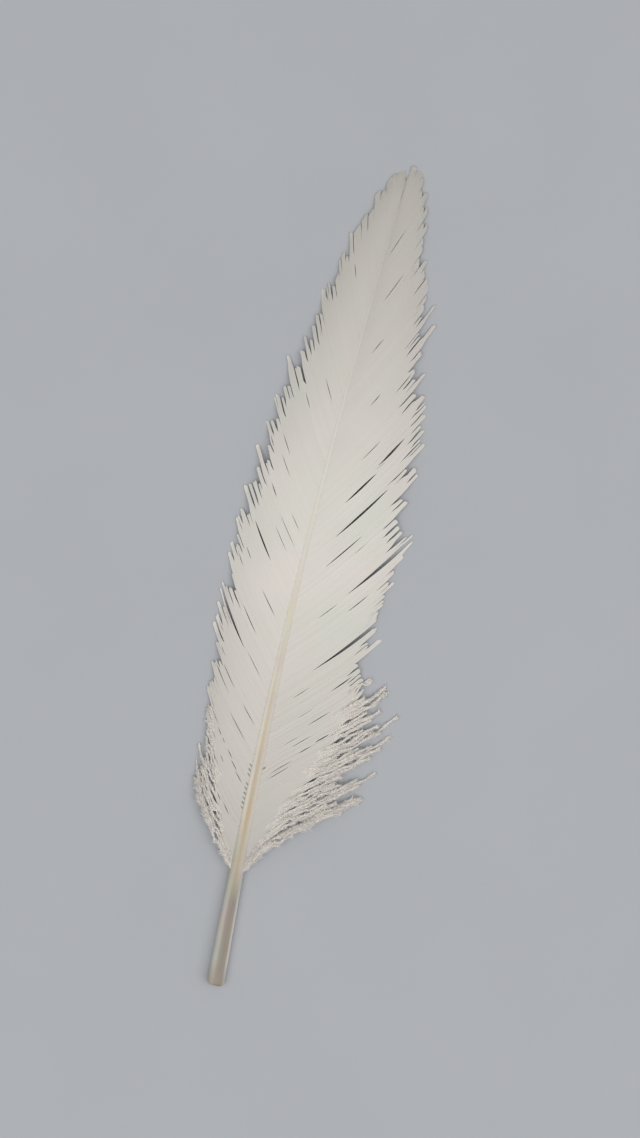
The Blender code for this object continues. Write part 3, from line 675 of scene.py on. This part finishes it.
def blade_halves(side, laid):
    """Each blade's width on its lower and its upper side: a little past midway to the next one."""
    gaps = np.abs(np.diff(laid["course_root"], axis=0))
    rooms = (np.concatenate((gaps[:1], gaps)), np.concatenate((gaps, gaps[-1:])))
    loose_from = laid["loose_from"][:, None]
    loosened = smooth_step(laid["share"], loose_from, loose_from + LOOSENING)
    low, high = ROOT_HOLES[side]
    holed = (laid["roots"] > low) & (laid["roots"] < high)
    holed = holed & (chance.uniform(0, 1, len(holed)) < HOLED_SHARE)
    holed[1::2] = False
    at_hole = holed[:, None] & (laid["out"] <= ROOT_STATIONS[2])
    left = laid["length"][:, None] - laid["out"]
    to_end = np.clip(left / END_STATIONS[0], END_LEAST, 1)
    halves = []
    for room in rooms:
        half = BLADE_OVERLAP * np.minimum(room, BARB_SPACING * BLADE_ROOM) * laid["apart"] / 2
        half = np.maximum(half, BLADE_LEAST / 2)
        half = half + (LOOSE_CORE / 2 - half) * loosened
        half = np.where(at_hole, BLADE_LEAST / 4, half)
        halves.append(half * np.sqrt(1 - (1 - to_end) ** 2))
    return halves[0], halves[1], loosened


def blade_mesh(side, laid):
    """One closed thin blade for each barb, with a rib along its middle."""
    lower, upper, loosened = blade_halves(side, laid)
    leftward, rightward = (upper, lower) if SIDES[side] > 0 else (lower, upper)
    ahead = np.stack((SIDES[side] * np.sin(laid["angle"]), np.cos(laid["angle"])), axis=-1)
    rib = np.minimum(RIDGE_HALF, np.minimum(lower, upper) * RIDGE_SHARE)
    slim = np.minimum(1.0, (lower + upper) / BARB_SPACING)
    tilt = SIDES[side] * BLADE_TILT * (1 - loosened) * slim
    # Around the section from the edge on the left of the barb, seen along it
    across = np.stack((leftward, rib, -rib, -rightward, -rib, rib), axis=-1)
    up = np.stack((FLANGE * slim + tilt, RIDGE_UP * slim + tilt / 4, RIDGE_UP * slim - tilt / 4,
                   -FLANGE * slim - tilt, -RIDGE_DOWN * slim - tilt / 4,
                   -RIDGE_DOWN * slim + tilt / 4), axis=-1)
    x = laid["x"][..., None] - ahead[..., 1:] * across
    y = laid["y"][..., None] + ahead[..., :1] * across
    up = up + laid["slope"][..., None] * across
    z = np.maximum(laid["z"][..., None] + up, LOWEST)
    rings = np.stack((x, y, z), axis=-1)
    tips = np.stack([laid[k][:, -1] for k in ("x", "y", "z")], axis=-1)
    tips[:, :2] += ahead[:, -1] * BARB_POINT
    points, faces = skin(rings, tips)
    around = across.shape[-1]
    tone = chance.uniform(0, 1, len(laid["roots"]))
    readings = {
        "tone": np.append(np.repeat(tone, laid["out"].shape[1] * around), tone),
        "out": np.append(np.repeat(laid["out"].ravel(), around), laid["length"]),
        "across": np.append(across.ravel(), np.zeros(len(tone))),
        "up_feather": points[:, 1],
    }
    return points, faces, readings


def keratin_material():
    """Feather keratin: barbs grown white, matt, and dulled by their fine barbules.

    Each barb differs a little in tone, and the sheet has soft pinkish and greenish-grey clouds.
    It is painted greyer near its foot and towards its tip, as shade where the light is dimmer.
    """
    material = bpy.data.materials.new("white feather keratin")
    material.use_nodes = True
    tree = material.node_tree
    shader = tree.nodes["Principled BSDF"]
    tone = add(tree, "ShaderNodeAttribute", attribute_name="tone").outputs["Fac"]
    out = add(tree, "ShaderNodeAttribute", attribute_name="out").outputs["Fac"]
    across = add(tree, "ShaderNodeAttribute", attribute_name="across").outputs["Fac"]
    place = add(tree, "ShaderNodeTexCoord").outputs["Object"]
    cloud_width = 26.0 * MM
    clouds = add(tree, "ShaderNodeTexNoise", {
        "Vector": place, "Scale": 1 / cloud_width, "Detail": 1.0})
    tint = add(tree, "ShaderNodeMapRange", {
        "Value": clouds.outputs["Fac"], "From Min": 0.35, "From Max": 0.65})
    ground = add(tree, "ShaderNodeMixRGB", {
        "Fac": tint.outputs["Result"], "Color1": colour("D5CEC6"), "Color2": colour("CFCDC3")})
    darker = add(tree, "ShaderNodeMapRange", {"Value": tone, "To Min": 0.0, "To Max": 0.10})
    varied = add(tree, "ShaderNodeMixRGB", {
        "Fac": darker.outputs["Result"], "Color1": ground.outputs["Color"],
        "Color2": colour("B9B3A8")})
    up_feather = add(tree, "ShaderNodeAttribute", attribute_name="up_feather").outputs["Fac"]
    up_share = add(tree, "ShaderNodeMath", {0: up_feather, 1: 1 / FEATHER_LENGTH},
                   operation="MULTIPLY")
    # Painted shade: the vane is greyed near its foot and towards its tip, where the light is
    # dimmer.
    falloff_shade = add(tree, "ShaderNodeValToRGB", {"Fac": up_share.outputs["Value"]}, stops=(
        (0.15, grey(0.75)), (0.24, grey(0.48)), (0.34, grey(0.32)), (0.48, grey(0)),
        (0.60, grey(0)), (1.0, grey(0.95))))
    falloff_shaded = add(tree, "ShaderNodeMixRGB", {
        "Fac": falloff_shade.outputs["Color"], "Color1": varied.outputs["Color"],
        "Color2": colour("AAA69E")})
    # Barbules are 0.03 mm apart. They are drawn unevenly and some 0.25 mm apart, so that they show.
    barbule_pitch = 0.25
    rows_apart = 1000.0            # takes each barb's rows from another part of the noise
    off_rib = add(tree, "ShaderNodeMath", {0: across}, operation="ABSOLUTE")
    slanted = add(tree, "ShaderNodeMath", {0: out, 1: off_rib.outputs["Value"]},
                  operation="SUBTRACT")
    row = add(tree, "ShaderNodeMath", {0: slanted.outputs["Value"], 1: 1 / barbule_pitch},
              operation="MULTIPLY")
    barb = add(tree, "ShaderNodeMath", {0: tone, 1: rows_apart}, operation="MULTIPLY")
    on_barb = add(tree, "ShaderNodeCombineXYZ", {"X": row.outputs["Value"],
                                                 "Y": barb.outputs["Value"]})
    barbules = add(tree, "ShaderNodeTexNoise", {"Vector": on_barb.outputs["Vector"], "Scale": 1.0,
                                                "Detail": 1.0}, noise_dimensions="2D")
    combed = add(tree, "ShaderNodeBump", {
        "Height": barbules.outputs["Fac"], "Strength": 0.18, "Distance": 0.03 * MM})
    dull = add(tree, "ShaderNodeMapRange", {"Value": tone, "To Min": 0.56, "To Max": 0.70})
    tree.links.new(falloff_shaded.outputs["Color"], shader.inputs["Base Color"])
    tree.links.new(dull.outputs["Result"], shader.inputs["Roughness"])
    tree.links.new(combed.outputs["Normal"], shader.inputs["Normal"])
    shader.inputs["IOR"].default_value = 1.55
    shader.inputs["Specular IOR Level"].default_value = 0.35
    shader.inputs["Sheen Weight"].default_value = 0.15
    shader.inputs["Sheen Roughness"].default_value = 0.45
    return material


feather_keratin = keratin_material()
vanes = {}
for side in SIDES:
    vanes[side] = lay_barbs(side)
    barb_points, barb_faces, barb_readings = blade_mesh(side, vanes[side])
    barbs = make_piece(f"barbs_{side}", barb_points, barb_faces, feather_keratin, barb_readings)
    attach(barbs, "root")
    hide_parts("feather")

# The loose down at the foot of each vane. Here the barbs' barbules have no hooks: they stand out
# on both sides as soft fine threads, so the barbs part into fuzzy strands with frayed ends.
THREAD_PITCH = 0.17            # spacing of the threads along one side of a barb
THREAD_LENGTH = {"right": (0.9, 1.8), "left": (0.7, 1.6)}
THREAD_LENGTH_AT_TIP = 0.95    # share of that length left at the barb's end
THREAD_LEAST = 0.1             # share of it that even a thin tuft has
THREAD_AT_START = 0.25         # and that the first threads of a barb have
THREADS_BEFORE = 0.03          # share of a barb before its barbules come loose that has some too
THREADS_LEAST_FROM = 0.02
FOOT_JITTER = 0.1              # how far a thread's foot lies from its even place
GROWTH_ROOTS = (44.0, 54.0)    # between these roots, the share of a barb over which its
GROWTH = (0.03, 0.14)          # threads grow to their length rises like this
GROWTH_LEAD = 0.05             # share of a barb by which they are ahead where they begin
FLUFFY_ROOTS = (42.5, 45.5)    # and between these the fluff ends
LOWEST_FLUFF = 1.8             # the very lowest barbs' threads are this many times as long
THREAD_HALF = 0.080            # drawn five times as thick as real ones, so that they show
THREAD_AROUND = 3              # points around a thread
THREAD_TAPER = 0.8             # share of that left where it bends
THREAD_LOWEST = 0.03           # height over the ground of the lowest thread, and of its tip
THREAD_TIP_LOWEST = 0.06
THREAD_LEAN = (26.0, 62.0)     # degrees between a thread and its barb
THREAD_CURL = 12.0             # degrees that a thread bends forward, halfway along it
THREAD_SPREAD = 34.0           # degrees that threads rise or dip out of the vane
TUFT = 1.5                     # the threads grow in tufts this far apart, with thin places between
TUFT_FULLNESS = {"right": (0.35, 1.35), "left": (0.25, 1.35)}


def thread_feet(side, laid):
    """Where threads grow: points, the barbs' bearings there, and how long the threads are."""
    feet, courses, lengths = [], [], []
    tufts = np.arange(0, laid["length"].max() + TUFT, TUFT)
    fullness = chance.uniform(*TUFT_FULLNESS[side], (laid["group"].max() + 1, len(tufts)))
    for k, whole in enumerate(laid["length"]):
        start = max(THREADS_LEAST_FROM, laid["loose_from"][k] - THREADS_BEFORE) * whole
        if start >= whole:
            continue
        out = np.arange(start, whole - FOOT_JITTER, THREAD_PITCH)
        out = out + chance.uniform(-FOOT_JITTER, FOOT_JITTER, len(out))
        feet.append(np.stack([np.interp(out, laid["out"][k], laid[axis][k]) for axis in "xyz"], -1))
        courses.append(np.interp(out, laid["out"][k], laid["angle"][k]))
        full = np.interp(out, tufts, fullness[laid["group"][k]])
        share = out / whole
        growth = np.interp(laid["roots"][k], GROWTH_ROOTS, GROWTH)
        growing = smooth_step(share, start / whole - GROWTH_LEAD, start / whole + growth)
        shorter = 1 - (1 - THREAD_LENGTH_AT_TIP) * share ** 3
        longer = np.interp(laid["roots"][k], FLUFFY_ROOTS, (LOWEST_FLUFF, 1.0))
        grown = THREAD_AT_START + (1 - THREAD_AT_START) * growing
        lengths.append(np.maximum(THREAD_LEAST, full) * shorter * longer * grown)
    return np.concatenate(feet), np.concatenate(courses), np.concatenate(lengths)


def thread_mesh(side, laid):
    """A closed thin thread, bent once, on both sides of each foot."""
    feet, courses, lengths = [np.concatenate((part, part)) for part in thread_feet(side, laid)]
    bearing = SIDES[side] * courses
    count = len(feet)
    way = np.where(np.arange(count) < count // 2, 1, -1)
    lean = np.radians(chance.uniform(*THREAD_LEAN, count))
    rise = np.radians(chance.normal(0, THREAD_SPREAD / 2, count))
    length = chance.uniform(*THREAD_LENGTH[side], count) * lengths
    path = [feet]
    for bend in (0.0, math.radians(THREAD_CURL)):
        heading = bearing + way * (lean - bend)
        course = np.stack((np.sin(heading) * np.cos(rise), np.cos(heading) * np.cos(rise),
                           np.sin(rise)), axis=-1)
        path.append(path[-1] + course * length[:, None] / 2)
    flat = np.stack((-np.cos(heading), np.sin(heading), np.zeros(count)), axis=-1)
    stations = np.stack(path[:2], axis=1)
    turn = np.arange(THREAD_AROUND) * 2 * math.pi / THREAD_AROUND
    thick = THREAD_HALF * np.array((1.0, THREAD_TAPER))[None, :, None, None]
    rings = (stations[:, :, None, :]
             + flat[:, None, None, :] * np.cos(turn)[None, None, :, None] * thick
             + np.array((0, 0, 1.0)) * np.sin(turn)[None, None, :, None] * thick)
    tips = path[2]
    rings[..., 2] = np.maximum(rings[..., 2], THREAD_LOWEST)
    tips[:, 2] = np.maximum(tips[:, 2], THREAD_TIP_LOWEST)
    points, faces = skin(rings, tips)
    tone = chance.uniform(0, 1, count)
    return points, faces, {"tone": np.append(np.repeat(tone, rings[0].size // 3), tone)}


def down_material():
    """Down: the same keratin as loose fine threads, matt and a little greyer than the vane."""
    material = bpy.data.materials.new("white down keratin")
    material.use_nodes = True
    tree = material.node_tree
    shader = tree.nodes["Principled BSDF"]
    tone = add(tree, "ShaderNodeAttribute", attribute_name="tone").outputs["Fac"]
    place = add(tree, "ShaderNodeTexCoord").outputs["Object"]
    cloud_width = 5.0 * MM
    clouds = add(tree, "ShaderNodeTexNoise", {
        "Vector": place, "Scale": 1 / cloud_width, "Detail": 2.0})
    ground = add(tree, "ShaderNodeMixRGB", {
        "Fac": clouds.outputs["Fac"], "Color1": colour("F7F2EA"), "Color2": colour("EFE8DF")})
    darker = add(tree, "ShaderNodeMapRange", {"Value": tone, "To Min": 0.0, "To Max": 0.12})
    varied = add(tree, "ShaderNodeMixRGB", {
        "Fac": darker.outputs["Result"], "Color1": ground.outputs["Color"],
        "Color2": colour("A69D92")})
    tree.links.new(varied.outputs["Color"], shader.inputs["Base Color"])
    shader.inputs["Roughness"].default_value = 0.75
    shader.inputs["IOR"].default_value = 1.55
    shader.inputs["Specular IOR Level"].default_value = 0.25
    shader.inputs["Sheen Weight"].default_value = 0.30
    shader.inputs["Sheen Roughness"].default_value = 0.50
    return material


down_keratin = down_material()
for side in SIDES:
    down_points, down_faces, down_readings = thread_mesh(side, vanes[side])
    down = make_piece(f"down_{side}", down_points, down_faces, down_keratin, down_readings)
    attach(down, "root")
    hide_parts("feather")

# The floor that the feather lies on is plain pale paint, matt and even. It runs on for metres, so
# that its far edge shows only in the lowest views.
FLOOR_SIZE = 8.0               # metres
FLOOR_CLOUD_WIDTH = 60.0
floor_mesh = bpy.data.meshes.new("floor")
edge = FLOOR_SIZE / 2
floor_mesh.from_pydata([(-edge, -edge, 0), (edge, -edge, 0), (edge, edge, 0), (-edge, edge, 0)],
                       [], [(0, 1, 2, 3)])
floor = bpy.data.objects.new("floor", floor_mesh)
bpy.context.scene.collection.objects.link(floor)
floor_paint = bpy.data.materials.new("pale grey matt paint")
floor_paint.use_nodes = True
floor_tree = floor_paint.node_tree
floor_place = add(floor_tree, "ShaderNodeTexCoord").outputs["Object"]
floor_clouds = add(floor_tree, "ShaderNodeTexNoise", {
    "Vector": floor_place, "Scale": 1 / (FLOOR_CLOUD_WIDTH * MM), "Detail": 2.0})
floor_shade = add(floor_tree, "ShaderNodeMixRGB", {
    "Fac": floor_clouds.outputs["Fac"], "Color1": colour("A6A8AB"), "Color2": colour("ABADB0")})
floor_shader = floor_tree.nodes["Principled BSDF"]
floor_tree.links.new(floor_shade.outputs["Color"], floor_shader.inputs["Base Color"])
floor_shader.inputs["Roughness"].default_value = 0.85
floor_mesh.materials.append(floor_paint)

# Plain soft studio light: a large soft key from the upper left, a weaker fill from the right, and
# an even pale sky. A lamp's place and size are in metres, and its power in watts.
LIGHTS = (
    ("key", (-1.00, -1.30, 4.20), 3.6, 100.0),
    ("fill", (2.20, 0.00, 3.80), 3.6, 77.0),
)
for name, place, size, power in LIGHTS:
    lamp = bpy.data.lights.new(name, "AREA")
    lamp.size = size
    lamp.energy = power
    light = bpy.data.objects.new(name, lamp)
    light.location = place
    aim = -light.location
    light.rotation_mode = "QUATERNION"
    light.rotation_quaternion = aim.to_track_quat("-Z", "Y")
    bpy.context.scene.collection.objects.link(light)
world = bpy.data.worlds.new("studio")
world.use_nodes = True
world.node_tree.nodes["Background"].inputs["Color"].default_value = colour("F4F6FA")
world.node_tree.nodes["Background"].inputs["Strength"].default_value = 0.40
bpy.context.scene.world = world
bpy.context.scene.view_settings.view_transform = "Standard"

# The camera looks straight down, as the photograph does, and is turned so that the feather leans
# as it does there. The two pixels are the quill's cut end and the feather's tip.
PHOTO_SIZE = (640, 1138)
PHOTO_CUT_END = (217, 984)
PHOTO_TIP = (412, 167)
LENS = 85.0
SENSOR = 36.0
run = (PHOTO_TIP[0] - PHOTO_CUT_END[0], PHOTO_CUT_END[1] - PHOTO_TIP[1])
pixel = FEATHER_LENGTH * MM / math.hypot(*run)
roll = math.atan2(run[0], run[1])
to_left = (PHOTO_SIZE[0] / 2 - PHOTO_CUT_END[0]) * pixel
below = (PHOTO_CUT_END[1] - PHOTO_SIZE[1] / 2) * pixel
camera_data = bpy.data.cameras.new("camera")
camera_data.lens = LENS
camera_data.sensor_width = SENSOR
camera = bpy.data.objects.new("camera", camera_data)
camera.location = (
    cad_low.x + CUT_END_FROM_LEFT * MM + to_left * math.cos(roll) - below * math.sin(roll),
    cad_low.y + to_left * math.sin(roll) + below * math.cos(roll),
    PHOTO_SIZE[1] * pixel * LENS / SENSOR,
)
camera.rotation_euler = (0, 0, roll)
bpy.context.scene.collection.objects.link(camera)
bpy.context.scene.camera = camera
